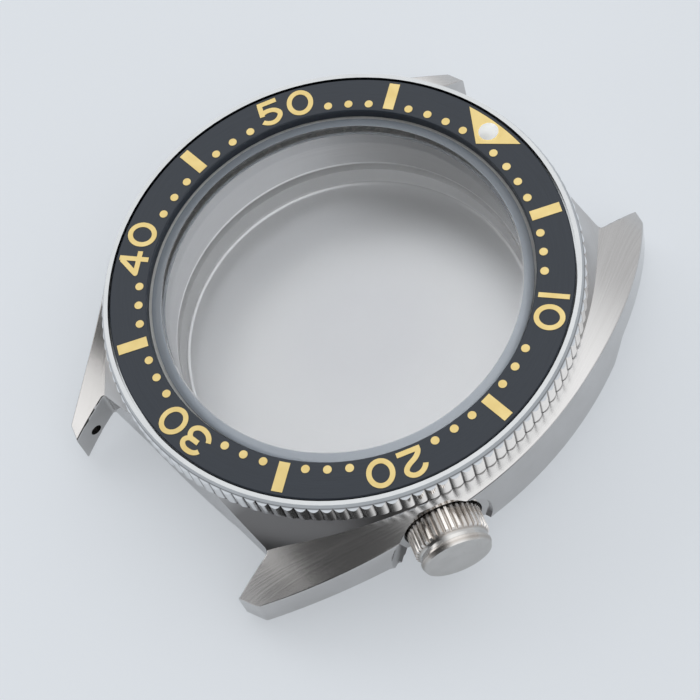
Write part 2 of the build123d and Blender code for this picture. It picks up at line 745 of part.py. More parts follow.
def crown_tube():
    """Pressed into the case; its outer end carries the crown's thread and two sealing rings."""
    tube = turned([
        (TUBE_BORE_R, TUBE_INNER_REACH),
        (TUBE_HOLE_R, TUBE_INNER_REACH),
        (TUBE_HOLE_R, TUBE_SHOULDER_REACH),
        (TUBE_THREAD_R, TUBE_SHOULDER_REACH),
        (TUBE_THREAD_R, TUBE_END_REACH - TUBE_TIP_BEVEL),
        (TUBE_THREAD_R - TUBE_TIP_BEVEL, TUBE_END_REACH),
        (TUBE_WIDE_BORE_R, TUBE_END_REACH),
        (TUBE_WIDE_BORE_R, TUBE_END_REACH - TUBE_STEP_DEPTH),
        (TUBE_BORE_R, TUBE_END_REACH - TUBE_STEP_DEPTH),
    ])
    for depth in RING_DEPTHS:
        reach = TUBE_END_REACH - depth
        half = RING_GROOVE_WIDTH / 2
        tube -= ring(RING_GROOVE_R, TUBE_BORE_R, reach - half, reach + half)
    return on_crown_axis(tube)


def tube_ring(depth):
    """A sealing ring in its groove, this deep in the tube's outer end."""
    centre_r = PIPE_R + RING_CLEARANCE + RING_SECTION_R
    section = Plane.XZ * Pos(centre_r, TUBE_END_REACH - depth) * Circle(RING_SECTION_R)
    return on_crown_axis(revolve(section, Axis.Z, FULL_TURN))


def knurled_prism():
    step = FULL_TURN / CROWN_RIDGES
    points = []
    for number in range(CROWN_RIDGES):
        for radius, share in (
            (CROWN_ROOT_R, -CROWN_RIDGE_FOOT_SHARE),
            (CROWN_R, -CROWN_RIDGE_TOP_SHARE),
            (CROWN_R, CROWN_RIDGE_TOP_SHARE),
            (CROWN_ROOT_R, CROWN_RIDGE_FOOT_SHARE),
        ):
            angle = math.radians((number + share / 2) * step)
            points.append((radius * math.cos(angle), radius * math.sin(angle)))
    face = make_face(Polyline(*points, close=True))
    return Pos(0, 0, CROWN_START_REACH) * extrude(face, SOCKET_END_REACH - CROWN_START_REACH)


def crown_head():
    """The end of the crown past the knurling: a smooth neck and a bevelled rim."""
    return turned([
        (0, SOCKET_END_REACH),
        (CROWN_ROOT_R, SOCKET_END_REACH),
        (CROWN_NECK_R, CROWN_NECK_REACH),
        (CROWN_NECK_R, CROWN_RIM_REACH),
        (CROWN_RIM_R, CROWN_RIM_REACH + CROWN_BEVEL / 2),
        (CROWN_RIM_R, CROWN_RIM_REACH + CROWN_RIM_LENGTH),
        (CROWN_FACE_R, CROWN_END_REACH),
        (0, CROWN_END_REACH),
    ])


def crown_cap():
    """The knurled cap with the pipe that runs in the tube."""
    bevelled = turned([
        (0, CROWN_START_REACH),
        (CROWN_R - CROWN_BEVEL, CROWN_START_REACH),
        (CROWN_R, CROWN_START_REACH + CROWN_BEVEL),
        (CROWN_R, SOCKET_END_REACH - CROWN_BEVEL),
        (CROWN_R - CROWN_BEVEL, SOCKET_END_REACH),
        (0, SOCKET_END_REACH),
    ])
    cap = (knurled_prism() & bevelled) + crown_head()
    cap -= disc(SOCKET_R, CROWN_START_REACH, SOCKET_END_REACH)
    pipe = disc(PIPE_R, PIPE_START_REACH, SOCKET_END_REACH)
    pipe -= disc(PIPE_BORE_R, PIPE_START_REACH + PIPE_LIP_LENGTH, SOCKET_END_REACH)
    pipe -= disc(POST_NECK_R + PIPE_LIP_CLEARANCE, PIPE_START_REACH, SOCKET_END_REACH)
    return on_crown_axis(cap + pipe)


def crown_gasket():
    inner = PIPE_R + CROWN_GASKET_CLEARANCE
    return on_crown_axis(ring(TUBE_THREAD_R, inner, TUBE_END_REACH, GASKET_END_REACH))


def crown_washer():
    inner = PIPE_R + CROWN_GASKET_CLEARANCE
    return on_crown_axis(ring(TUBE_THREAD_R, inner, GASKET_END_REACH, SOCKET_END_REACH))


def crown_post():
    """The post that the winding stem screws into; the crown's pipe slides on its neck."""
    post = disc(POST_R, POST_INNER_REACH, POST_STEP_REACH)
    post += disc(POST_NECK_R, POST_STEP_REACH, POST_END_REACH)
    post += disc(POST_R, POST_END_REACH - POST_HEAD_LENGTH, POST_END_REACH)
    post -= disc(STEM_HOLE_R, POST_INNER_REACH, POST_INNER_REACH + STEM_HOLE_DEPTH)
    return on_crown_axis(post)


def crown_spring():
    start = POST_END_REACH + SPRING_WIRE_R
    height = SOCKET_END_REACH - SPRING_WIRE_R - start
    path = Helix(SPRING_PITCH, height, SPRING_R)
    section = Plane(path @ 0, z_dir=path % 0) * Circle(SPRING_WIRE_R)
    return on_crown_axis(Pos(0, 0, start) * sweep(section, path))


def caseback():
    back = turned([
        (0, 0),
        (BACK_R - BACK_BEVEL, 0),
        (BACK_R, BACK_BEVEL),
        (BACK_R, BACK_PLATE_Z),
        (BACK_RING_R, BACK_PLATE_Z),
        (BACK_RING_R, BACK_RING_Z - BACK_RING_BEVEL),
        (BACK_RING_R - BACK_RING_BEVEL, BACK_RING_Z),
        (BACK_RING_INNER_R, BACK_RING_Z),
        (BACK_RING_INNER_R, BACK_FLOOR_Z),
        (0, BACK_FLOOR_Z),
    ])
    inner_edge = back.edges().filter_by(GeomType.CIRCLE)
    inner_edge = [e for e in inner_edge if math.isclose(e.radius, BACK_RING_INNER_R)]
    inner_edge = [e for e in inner_edge if math.isclose(e.center().Z, BACK_FLOOR_Z)]
    back = fillet(inner_edge, BACK_ROUNDING)
    slot = Box(WRENCH_SLOT_DEPTH * 2, WRENCH_SLOT_WIDTH, WRENCH_SLOT_DEPTH * 2)
    for number in range(WRENCH_SLOTS):
        back -= Rot(0, 0, number * FULL_TURN / WRENCH_SLOTS) * Pos(BACK_R, 0, 0) * slot
    return back


def caseback_gasket():
    top = BACK_PLATE_Z + BACK_GASKET_HEIGHT
    return ring(BACK_GASKET_OUTER_R, BACK_GASKET_INNER_R, BACK_PLATE_Z, top)


NODES = {
    "mid_case": mid_case,
    "crystal": crystal,
    "crystal_gasket": crystal_gasket,
    "click_spring": click_spring,
    "bezel_gasket": bezel_gasket,
    "bezel_ring": bezel_ring,
    "bezel_wire": bezel_wire,
    "bezel_insert": bezel_insert,
    "insert_adhesive": insert_adhesive,
    "insert_dots": insert_dots,
    "insert_bars": insert_bars,
    "insert_numerals": insert_numerals,
    "insert_triangle": insert_triangle,
    "pearl_cup": pearl_cup,
    "pearl": pearl,
    "crown_tube": crown_tube,
    "crown_cap": crown_cap,
    "crown_gasket": crown_gasket,
    "crown_washer": crown_washer,
    "crown_post": crown_post,
    "crown_spring": crown_spring,
    "caseback": caseback,
    "caseback_gasket": caseback_gasket,
}

os.makedirs("parts", exist_ok=True)
for node, make in NODES.items():
    export_step(make(), f"parts/{node}.step")
for place, depth in zip(("inner", "outer"), RING_DEPTHS):
    export_step(tube_ring(depth), f"parts/tube_ring_{place}.step")
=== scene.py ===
import math

import bpy
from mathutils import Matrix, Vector

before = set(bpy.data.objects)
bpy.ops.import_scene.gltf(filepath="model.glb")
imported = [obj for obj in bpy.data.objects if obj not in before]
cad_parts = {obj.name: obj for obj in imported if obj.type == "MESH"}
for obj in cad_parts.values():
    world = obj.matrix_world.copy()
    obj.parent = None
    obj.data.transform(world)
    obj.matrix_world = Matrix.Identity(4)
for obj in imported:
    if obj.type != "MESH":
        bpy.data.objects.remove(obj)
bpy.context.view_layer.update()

MM = 0.001

# Places on the part, repeated from the CAD source in millimetres and degrees.
CROWN_ANGLE = -23.06
CROWN_Z = 6.17
CROWN_ROOT_R = 2.86
CROWN_CREST_R = 3.05
BEZEL_GROOVE_R = 19.45
BORE_EDGE_R = 16.2
PEDESTAL_FOOT_R = 21.6
BORE_LEDGE_Z = 4.55
BACK_RING_Z = 1.4
CRYSTAL_FLAT_R = 14.65

# Where one finish, painted highlight or painted shade changes to the next: distances in
# millimetres, and the upward part of the surface's direction, 0 for upright and 1 for level.
EDGE_BLEND = 0.05
BORE_BLEND = 0.1
PEDESTAL_BLEND = 0.2
TOOTH_BLEND = 0.03
GROOVE_START = 0.02
GROOVE_END = 0.08
KNURL_BLEND = 0.04
KNURL_EDGE = 0.08
NECK_START = 0.1
NECK_END = 0.02
GROUND_BLEND = 0.08
LEVEL_FACE = (0.4, 0.6)
STEEPER_THAN_FLANK = (0.75, 0.65)
LESS_STEEP_THAN_SIDE = (0.1, 0.25)

# Painted shade: the hollow cone under the bezel is painted darker on the crown's side of 6 o'clock.
HOLLOW_SHADE_ANGLE = -40
HOLLOW_SHADE_START = 15.3
HOLLOW_SHADE_FULL = 17.5

# The middle of the case back's inner face is a little darker.
BACK_DISC_R = 4.0
BACK_DISC_FADE_R = 9.0

# Colours: each pair is the darker and the lighter tone of a material.
CASE_SIDE = ((0.57, 0.56, 0.55), (0.63, 0.62, 0.615))
CASE_BRUSHED = ((0.57, 0.555, 0.545), (0.64, 0.63, 0.62))
# Painted shade for the hollow cone under the bezel on the crown's side.
CASE_HOLLOW_PAINTED_SHADE = (0.2, 0.193, 0.19)
BORE_WALL = ((0.50, 0.505, 0.52), (0.62, 0.625, 0.64))
# Painted highlight: the bore below its ledge is painted near white.
BORE_LEDGE_PAINTED_HIGHLIGHT = (0.92, 0.93, 0.94)
BEZEL_RIM = ((0.50, 0.51, 0.515), (0.55, 0.56, 0.565))
# Painted highlight on the bezel's teeth, then painted shade for the bottom of the grooves between
# them.
BEZEL_CREST_PAINTED_HIGHLIGHT = ((0.84, 0.845, 0.85), (0.90, 0.905, 0.91))
BEZEL_GROOVE_PAINTED_SHADE = (0.24, 0.24, 0.245)
CROWN_PLAIN = ((0.60, 0.585, 0.565), (0.67, 0.655, 0.635))
# Painted highlight on the knurling's crests, then painted shade for the bottom of its grooves.
CROWN_CREST_PAINTED_HIGHLIGHT = ((0.84, 0.80, 0.76), (0.92, 0.88, 0.84))
CROWN_GROOVE_PAINTED_SHADE = (0.5, 0.465, 0.43)
SPRING_STEEL = ((0.558, 0.558, 0.558), (0.624, 0.624, 0.624))
BACK_DISH = ((0.66, 0.665, 0.675), (0.70, 0.705, 0.715))
BACK_DISC = (0.635, 0.64, 0.66)
# Painted highlight: the ring above the case back's inner dish is painted near white.
BACK_RING_PAINTED_HIGHLIGHT = (0.97, 0.975, 0.98)
INSERT_BLACK = ((0.024, 0.031, 0.042), (0.031, 0.039, 0.052))
GOLD = ((0.68, 0.52, 0.215), (0.74, 0.585, 0.265))
SEAL_BLACK = (0.012, 0.012, 0.013)
SEAL_PALE = (0.72, 0.72, 0.70)
NYLON = (0.72, 0.70, 0.64)
GLUE = (0.6, 0.58, 0.5)
CRYSTAL_CLEAR = ((0.985, 0.99, 0.995), (1.0, 1.0, 1.0))
# Painted reflection: the blue-grey of the crystal's bevel stands in for the surround it mirrors.
CRYSTAL_BEVEL_PAINTED_REFLECTION = (0.42, 0.465, 0.52)
PEARL = ((0.93, 0.945, 0.91), (0.98, 0.985, 0.96))
PEARL_DEPTH = (0.0004, 0.0004, 0.0003)

# Noise: scale, detail and roughness. Turning lines have scales for radius, angle and height.
SPRING_CLOUD = (0.35, 4, 0.55)
CASE_CLOUD = (0.3, 4, 0.55)
CASE_TURNING = (22.0, 2.0, 22.0)
CASE_LINES = (1.0, 5, 0.7)
BEZEL_CLOUD = (0.4, 4, 0.55)
STEEL_GRAIN = (9.0, 3, 0.6)
CROWN_CLOUD = (0.6, 4, 0.55)
CROWN_SATIN = (7.0, 3, 0.6)
CROWN_GRAIN = (16.0, 3, 0.6)
BACK_TURNING = (14.0, 1.5, 14.0)
BACK_LINES = (1.0, 4, 0.65)
INSERT_TURNING = (5.0, 4.0, 5.0)
INSERT_LINES = (2.0, 4, 0.6)
INSERT_SPECK = (26.0, 2, 0.5)
GOLD_CLOUD = (0.9, 2, 0.4)
GOLD_SATIN = (14.0, 3, 0.5)
GOLD_GRAIN = (30.0, 2, 0.5)
RUBBER_CLOUD = (3.0, 4, 0.6)
RUBBER_SATIN = (20.0, 3, 0.6)
RUBBER_GRAIN = (45.0, 3, 0.6)
PLASTIC_CLOUD = (2.0, 4, 0.6)
PLASTIC_SATIN = (15.0, 3, 0.6)
PLASTIC_GRAIN = (35.0, 2, 0.5)
CRYSTAL_SMEAR = (0.5, 4, 0.6)
PEARL_CLOUD = (2.5, 4, 0.6)
PEARL_SATIN = (12.0, 2, 0.5)
PEARL_GRAIN = (20.0, 2, 0.5)

# The part of a noise that is spread over a pair of tones or roughnesses.
NOISE_LOW = 0.3
NOISE_HIGH = 0.7
RUBBER_HIGH = 0.75
SMEAR_COLOUR_RANGE = (0.2, 0.8)
SMEAR_ROUGH_RANGE = (0.35, 0.75)

# Roughness, from the smoother to the rougher end where there are two.
SPRING_ROUGH = (0.16, 0.24)
BRUSHED_ROUGH = (0.16, 0.26)
POLISHED_ROUGH = (0.07, 0.12)
HOLLOW_ROUGH = 0.3
BORE_ROUGH = 0.3
BEZEL_ROUGH = (0.09, 0.14)
CROWN_ROUGH = (0.2, 0.28)
BACK_ROUGH = (0.38, 0.44)
BACK_RING_ROUGH = 0.75
INSERT_ROUGH = (0.34, 0.42)
GOLD_MARK_ROUGH = (0.3, 0.4)
GOLD_CUP_ROUGH = (0.18, 0.26)
RUBBER_ROUGH = (0.55, 0.75)
CRYSTAL_SEAL_ROUGH = (0.4, 0.5)
NYLON_ROUGH = (0.45, 0.55)
GLUE_ROUGH = (0.55, 0.65)
CRYSTAL_ROUGH = (0.0, 0.015)
CRYSTAL_GROUND_ROUGH = 0.2
PEARL_ROUGH = (0.3, 0.4)
FLOOR_ROUGH = 0.9

# Bumps: strength, and depth in millimetres.
SPRING_BUMP = (0.2, 0.004)
CASE_BUMP = (0.2, 0.012)
BEZEL_BUMP = (0.1, 0.003)
CROWN_BUMP = (0.15, 0.004)
BACK_BUMP = (0.1, 0.004)
INSERT_BUMP = (0.15, 0.006)
GOLD_BUMP = (0.2, 0.004)
RUBBER_BUMP = (0.25, 0.008)
PLASTIC_BUMP = (0.15, 0.005)
PEARL_BUMP = (0.1, 0.004)

# Other shader values.
FLAT_BUMP = 0.5
INSERT_SPECULAR = 0.4
FLOOR_SPECULAR = 0.1
SAPPHIRE_IOR = 1.5
GROUND_TRANSMISSION = 0.5
PEARL_COAT = 0.6
PEARL_COAT_ROUGH = 0.08
PEARL_SUBSURFACE = 0.25
PLASTIC_DARKER = 0.9
RUBBER_PALER = 1.5
RUBBER_DUST = 0.01

# Camera at the photograph's place, in metres, degrees and millimetres of lens.
CAMERA_PLACE = (0.07264, -0.03463, 0.15266)
CAMERA_ANGLES = (26.163, 9.943, 46.022)
CAMERA_LENS = 104.6
CAMERA_SENSOR = 36.0
CAMERA_NEAR = 0.01
CAMERA_FAR = 5.0

# The floor is a hair under the case, and shows the camera part of its own colour, so that
# its shadow is faint.
FLOOR_HALF = 1.2
FLOOR_GAP = 0.02
FLOOR_COLOUR = (0.775, 0.81, 0.85)
FLOOR_GLOW = 0.45
FLOOR_GLOW_IN_METAL = 0.15

# Lamps: place, target, side length in metres, power in watts and colour. The two small ones
# stand for white cards that show in the left lug and the far lug.
WHITE = (1, 1, 1)
LAMPS = {
    "key": ((-0.5, -0.1, 0.32), (0, 0, 0), 0.34, 0.31, (1.0, 0.99, 0.98)),
    "left_card": ((-0.115, -0.154, 0.095), (-0.018, -0.02, 0.004), 0.09, 0.028, WHITE),
    "back_card": ((-0.085, 0.146, 0.044), (-0.012, 0.021, 0.003), 0.05, 0.004, WHITE),
}

# Surround: brightest overhead, with dark cards in two directions. Heights and card edges are
# sines and cosines.
HORIZON_COLOUR = (0.69, 0.70, 0.715)
OVERHEAD_COLOUR = (1.36, 1.38, 1.40)
OVERHEAD_START = 0.4
OVERHEAD_FULL = 0.9
CARD_SHADE = 0.06
CARD_DIRECTIONS = ((-0.22, -0.55, 0.8), (0.35, -0.88, 0.32))
CARD_EDGE_START = 0.76
CARD_EDGE_END = 0.93


class Nodes:
    """A small builder for a node material."""

    def __init__(self, name):
        self.material = bpy.data.materials.new(name)
        self.material.use_nodes = True
        self.tree = self.material.node_tree
        self.tree.nodes.clear()
        self.output = self.add("ShaderNodeOutputMaterial")
        self.shader = self.add("ShaderNodeBsdfPrincipled")
        self.link(self.shader.outputs[0], self.output.inputs["Surface"])

    def add(self, kind, **values):
        node = self.tree.nodes.new(kind)
        for key, value in values.items():
            setattr(node, key, value)
        return node

    def link(self, source, target):
        self.tree.links.new(source, target)

    def coords(self):
        """Object coordinates in millimetres."""
        texture = self.add("ShaderNodeTexCoord")
        mapping = self.add("ShaderNodeMapping")
        mapping.inputs["Scale"].default_value = [1 / MM] * 3
        self.link(texture.outputs["Object"], mapping.inputs["Vector"])
        return mapping.outputs["Vector"]

    def level_place(self):
        """Object coordinates in millimetres with their height set to zero."""
        flat = self.add("ShaderNodeVectorMath", operation="MULTIPLY")
        flat.inputs[1].default_value = (1, 1, 0)
        self.link(self.coords(), flat.inputs[0])
        return flat.outputs[0]

    def radius(self):
        """Distance from the case axis in millimetres."""
        length = self.add("ShaderNodeVectorMath", operation="LENGTH")
        self.link(self.level_place(), length.inputs[0])
        return length.outputs["Value"]

    def height(self):
        """Height above the case's resting face in millimetres."""
        split = self.add("ShaderNodeSeparateXYZ")
        self.link(self.coords(), split.inputs[0])
        return split.outputs["Z"]

    def scaled(self, value, factor):
        node = self.add("ShaderNodeMath", operation="MULTIPLY")
        node.inputs[1].default_value = factor
        self.link(value, node.inputs[0])
        return node.outputs[0]

    def polar(self, radial, around, tall):
        """Coordinates that run round the case axis: radius, angle and height, each scaled."""
        unit = self.add("ShaderNodeVectorMath", operation="NORMALIZE")
        self.link(self.level_place(), unit.inputs[0])
        ring = self.add("ShaderNodeVectorMath", operation="SCALE")
        ring.inputs["Scale"].default_value = around
        self.link(unit.outputs[0], ring.inputs[0])
        total = self.add("ShaderNodeMath", operation="ADD")
        self.link(self.scaled(self.radius(), radial), total.inputs[0])
        self.link(self.scaled(self.height(), tall), total.inputs[1])
        lift = self.add("ShaderNodeCombineXYZ")
        self.link(total.outputs[0], lift.inputs["Z"])
        joined = self.add("ShaderNodeVectorMath", operation="ADD")
        self.link(ring.outputs[0], joined.inputs[0])
        self.link(lift.outputs[0], joined.inputs[1])
        return joined.outputs[0]

    def low_edge(self, height):
        """1 below a height in millimetres, 0 a little above it."""
        return self.remap(self.height(), height, height + EDGE_BLEND, 1.0, 0.0)

    def toward(self, angle, start, full):
        """0 up to a distance from the case axis in one direction, 1 from a farther one on."""
        turn = math.radians(angle)
        reach = self.add("ShaderNodeVectorMath", operation="DOT_PRODUCT")
        reach.inputs[1].default_value = (math.cos(turn), math.sin(turn), 0)
        self.link(self.coords(), reach.inputs[0])
        return self.remap(reach.outputs["Value"], start, full, 0.0, 1.0)

    def crown_radius(self):
        """Distance from the crown axis in millimetres."""
        turned = self.add("ShaderNodeVectorRotate", rotation_type="Z_AXIS")
        turned.inputs["Angle"].default_value = -math.radians(CROWN_ANGLE)
        self.link(self.coords(), turned.inputs["Vector"])
        flat = self.add("ShaderNodeVectorMath", operation="MULTIPLY_ADD")
        flat.inputs[1].default_value = (0, 1, 1)
        flat.inputs[2].default_value = (0, 0, -CROWN_Z)
        self.link(turned.outputs[0], flat.inputs[0])
        length = self.add("ShaderNodeVectorMath", operation="LENGTH")
        self.link(flat.outputs[0], length.inputs[0])
        return length.outputs["Value"]

    def mix_colour(self, factor, first, second):
        node = self.add("ShaderNodeMix", data_type="RGBA")
        self.link(factor, node.inputs["Factor"])
        for socket, value in ((node.inputs[6], first), (node.inputs[7], second)):
            if isinstance(value, tuple):
                socket.default_value = (*value, 1)
            else:
                self.link(value, socket)
        return node.outputs[2]

    def facing_up(self, low, high):
        """0 where the surface is steeper than low, 1 where it is more level than high."""
        split = self.add("ShaderNodeSeparateXYZ")
        self.link(self.add("ShaderNodeNewGeometry").outputs["Normal"], split.inputs[0])
        return self.remap(split.outputs["Z"], low, high, 0.0, 1.0)

    def times(self, first, second):
        node = self.add("ShaderNodeMath", operation="MULTIPLY")
        self.link(first, node.inputs[0])
        self.link(second, node.inputs[1])
        return node.outputs[0]

    def largest(self, first, second):
        node = self.add("ShaderNodeMath", operation="MAXIMUM")
        self.link(first, node.inputs[0])
        self.link(second, node.inputs[1])
        return node.outputs[0]

    def mix(self, factor, first, second):
        """A blend of two numbers, the second where the factor is 1."""
        node = self.add("ShaderNodeMix", data_type="FLOAT")
        self.link(factor, node.inputs["Factor"])
        for socket, value in ((node.inputs["A"], first), (node.inputs["B"], second)):
            if isinstance(value, float):
                socket.default_value = value
            else:
                self.link(value, socket)
        return node.outputs["Result"]

    def shades(self, value, pair):
        """A noise as a colour between the darker and the lighter one of a pair."""
        return self.ramp(value, list(zip((NOISE_LOW, NOISE_HIGH), pair)))

    def spread(self, value, pair):
        """A noise as a number between the two of a pair."""
        return self.remap(value, NOISE_LOW, NOISE_HIGH, *pair)

    def noise(self, vector, scale, detail, roughness):
        node = self.add("ShaderNodeTexNoise")
        node.inputs["Scale"].default_value = scale
        node.inputs["Detail"].default_value = detail
        node.inputs["Roughness"].default_value = roughness
        self.link(vector, node.inputs["Vector"])
        return node.outputs["Fac"]

    def remap(self, value, low, high, to_low, to_high):
        node = self.add("ShaderNodeMapRange")
        node.inputs["From Min"].default_value = low
        node.inputs["From Max"].default_value = high
        node.inputs["To Min"].default_value = to_low
        node.inputs["To Max"].default_value = to_high
        self.link(value, node.inputs["Value"])
        return node.outputs["Result"]

    def ramp(self, value, stops):
        """Colours along a value; stops are pairs of a place and a colour."""
        node = self.add("ShaderNodeValToRGB")
        ramp = node.color_ramp
        while len(ramp.elements) < len(stops):
            ramp.elements.new(0.5)
        for element, (place, colour) in zip(ramp.elements, stops):
            element.position = place
            element.color = (*colour, 1)
        self.link(value, node.inputs["Fac"])
        return node.outputs["Color"]

    def bump(self, height, strength, distance):
        """A normal from a height; the distance is in millimetres."""
        node = self.add("ShaderNodeBump")
        node.inputs["Strength"].default_value = strength
        node.inputs["Distance"].default_value = distance * MM
        self.link(height, node.inputs["Height"])
        return node.outputs["Normal"]

    def set(self, **values):
        names = {
            "metallic": "Metallic",
            "roughness": "Roughness",
            "ior": "IOR",
            "coat": "Coat Weight",
            "coat_roughness": "Coat Roughness",
            "specular": "Specular IOR Level",
            "subsurface": "Subsurface Weight",
        }
        for key, value in values.items():
            self.shader.inputs[names[key]].default_value = value
        return self

    def colour(self, source):
        self.link(source, self.shader.inputs["Base Color"])

    def rough(self, source):
        self.link(source, self.shader.inputs["Roughness"])

    def normal(self, source):
        self.link(source, self.shader.inputs["Normal"])


def spring_material():
    """Satin steel with faint smears."""
    m = Nodes("spring_steel")
    m.set(metallic=1.0)
    place = m.coords()
    cloud = m.noise(place, *SPRING_CLOUD)
    m.colour(m.shades(cloud, SPRING_STEEL))
    m.rough(m.spread(cloud, SPRING_ROUGH))
    m.normal(m.bump(m.noise(place, *STEEL_GRAIN), *SPRING_BUMP))
    return m.material


def case_material():
    """Steel brushed round the case axis on top, polished on its sides and turned in its bore; the
    bore below its ledge has a painted highlight, and the hollow cone on the crown's side has
    painted shade.
    """
    m = Nodes("case_steel")
    m.set(metallic=1.0)
    cloud = m.noise(m.coords(), *CASE_CLOUD)
    lines = m.noise(m.polar(*CASE_TURNING), *CASE_LINES)
    level = m.facing_up(*LEVEL_FACE)
    bore = m.remap(m.radius(), BORE_EDGE_R, BORE_EDGE_R + BORE_BLEND, 1.0, 0.0)
    # Painted highlight: below its ledge the bore is painted near white, over its turning lines.
    turned = m.mix_colour(m.low_edge(BORE_LEDGE_Z), m.shades(lines, BORE_WALL), BORE_LEDGE_PAINTED_HIGHLIGHT)
    near = m.remap(m.radius(), PEDESTAL_FOOT_R, PEDESTAL_FOOT_R + PEDESTAL_BLEND, 1.0, 0.0)
    cone = m.times(m.facing_up(*STEEPER_THAN_FLANK), m.facing_up(*LESS_STEEP_THAN_SIDE))
    hollow = m.times(cone, near)
    # Painted shade: the hollow cone is painted dark on the crown's side of 6 o'clock.
    painted_shade_side = m.toward(HOLLOW_SHADE_ANGLE, HOLLOW_SHADE_START, HOLLOW_SHADE_FULL)
    metal = m.mix_colour(level, m.shades(cloud, CASE_SIDE), m.shades(lines, CASE_BRUSHED))
    body = m.mix_colour(m.times(hollow, painted_shade_side), metal, CASE_HOLLOW_PAINTED_SHADE)
    m.colour(m.mix_colour(bore, body, turned))
    flanks = m.mix(level, m.spread(cloud, POLISHED_ROUGH), m.spread(lines, BRUSHED_ROUGH))
    m.rough(m.mix(bore, m.mix(hollow, flanks, HOLLOW_ROUGH), BORE_ROUGH))
    m.normal(m.bump(m.mix(level, FLAT_BUMP, lines), *CASE_BUMP))
    return m.material


def bezel_material():
    """Polished steel with teeth painted bright as a highlight, and painted darker as shade at the
    bottom of the grooves between them.
    """
    m = Nodes("bezel_steel")
    m.set(metallic=1.0)
    place = m.coords()
    cloud = m.noise(place, *BEZEL_CLOUD)
    away = m.radius()
    # Painted highlight: the teeth are painted bright. Painted shade: the bottom of the grooves
    # between them is painted dark.
    groove_shade = m.remap(away, BEZEL_GROOVE_R + GROOVE_START, BEZEL_GROOVE_R + GROOVE_END, 1.0, 0.0)
    teeth = m.remap(away, BEZEL_GROOVE_R - TOOTH_BLEND, BEZEL_GROOVE_R, 0.0, 1.0)
    steel_with_crest_highlight = m.mix_colour(teeth, m.shades(cloud, BEZEL_RIM), m.shades(cloud, BEZEL_CREST_PAINTED_HIGHLIGHT))
    m.colour(m.mix_colour(m.times(groove_shade, teeth), steel_with_crest_highlight, BEZEL_GROOVE_PAINTED_SHADE))
    m.rough(m.spread(cloud, BEZEL_ROUGH))
    m.normal(m.bump(m.noise(place, *STEEL_GRAIN), *BEZEL_BUMP))
    return m.material


def crown_material():
    """Satin steel with faint warmth, painted bright as a highlight on the knurling and painted
    darker as shade at its bottom.
    """
    m = Nodes("crown_steel")
    m.set(metallic=1.0)
    place = m.coords()
    cloud = m.noise(place, *CROWN_CLOUD)
    away = m.crown_radius()
    # Painted highlight: the knurling is painted bright. Painted shade: the bottom of its grooves is
    # painted dark.
    knurl = m.remap(away, CROWN_ROOT_R, CROWN_ROOT_R + KNURL_BLEND, 0.0, 1.0)
    steel_with_crest_highlight = m.mix_colour(knurl, m.shades(cloud, CROWN_PLAIN), m.shades(cloud, CROWN_CREST_PAINTED_HIGHLIGHT))
    groove_shade = m.remap(away, CROWN_ROOT_R, CROWN_CREST_R - KNURL_EDGE, 1.0, 0.0)
    head = m.remap(away, CROWN_ROOT_R - NECK_START, CROWN_ROOT_R - NECK_END, 0.0, 1.0)
    m.colour(m.mix_colour(m.times(groove_shade, head), steel_with_crest_highlight, CROWN_GROOVE_PAINTED_SHADE))
    m.rough(m.spread(m.noise(place, *CROWN_SATIN), CROWN_ROUGH))
    m.normal(m.bump(m.noise(place, *CROWN_GRAIN), *CROWN_BUMP))
    return m.material


def back_material():
    """Satin steel with faint turning lines, a darker middle inside and a matt ring painted pale as
    a highlight.
    """
    m = Nodes("back_steel")
    m.set(metallic=1.0)
    lines = m.noise(m.polar(*BACK_TURNING), *BACK_LINES)
    middle = m.remap(m.radius(), BACK_DISC_R, BACK_DISC_FADE_R, 1.0, 0.0)
    disc = m.times(middle, m.facing_up(*LEVEL_FACE))
    # Painted highlight: the ring above the dish is painted near white.
    dish = m.low_edge(BACK_RING_Z)
    plate = m.mix_colour(disc, m.shades(lines, BACK_DISH), BACK_DISC)
    m.colour(m.mix_colour(dish, BACK_RING_PAINTED_HIGHLIGHT, plate))
    m.rough(m.mix(dish, BACK_RING_ROUGH, m.spread(lines, BACK_ROUGH)))
    m.normal(m.bump(lines, *BACK_BUMP))
    return m.material


def insert_material():
    """Satin black with a fine grain."""
    m = Nodes("insert_black")
    m.set(metallic=0.0, specular=INSERT_SPECULAR, coat=0.0)
    lines = m.noise(m.polar(*INSERT_TURNING), *INSERT_LINES)
    m.colour(m.shades(lines, INSERT_BLACK))
    m.rough(m.spread(lines, INSERT_ROUGH))
    m.normal(m.bump(m.noise(m.coords(), *INSERT_SPECK), *INSERT_BUMP))
    return m.material


def gold_material(name, roughness):
    m = Nodes(name)
    m.set(metallic=1.0)
    place = m.coords()
    m.colour(m.shades(m.noise(place, *GOLD_CLOUD), GOLD))
    m.rough(m.spread(m.noise(place, *GOLD_SATIN), roughness))
    m.normal(m.bump(m.noise(place, *GOLD_GRAIN), *GOLD_BUMP))
    return m.material


def rubber_material(name, colour):
    m = Nodes(name)
    place = m.coords()
    pale = [c * RUBBER_PALER + RUBBER_DUST for c in colour]
    dust = [(NOISE_LOW, colour), (RUBBER_HIGH, pale)]
    m.colour(m.ramp(m.noise(place, *RUBBER_CLOUD), dust))
    m.rough(m.spread(m.noise(place, *RUBBER_SATIN), RUBBER_ROUGH))
    m.normal(m.bump(m.noise(place, *RUBBER_GRAIN), *RUBBER_BUMP))
    return m.material


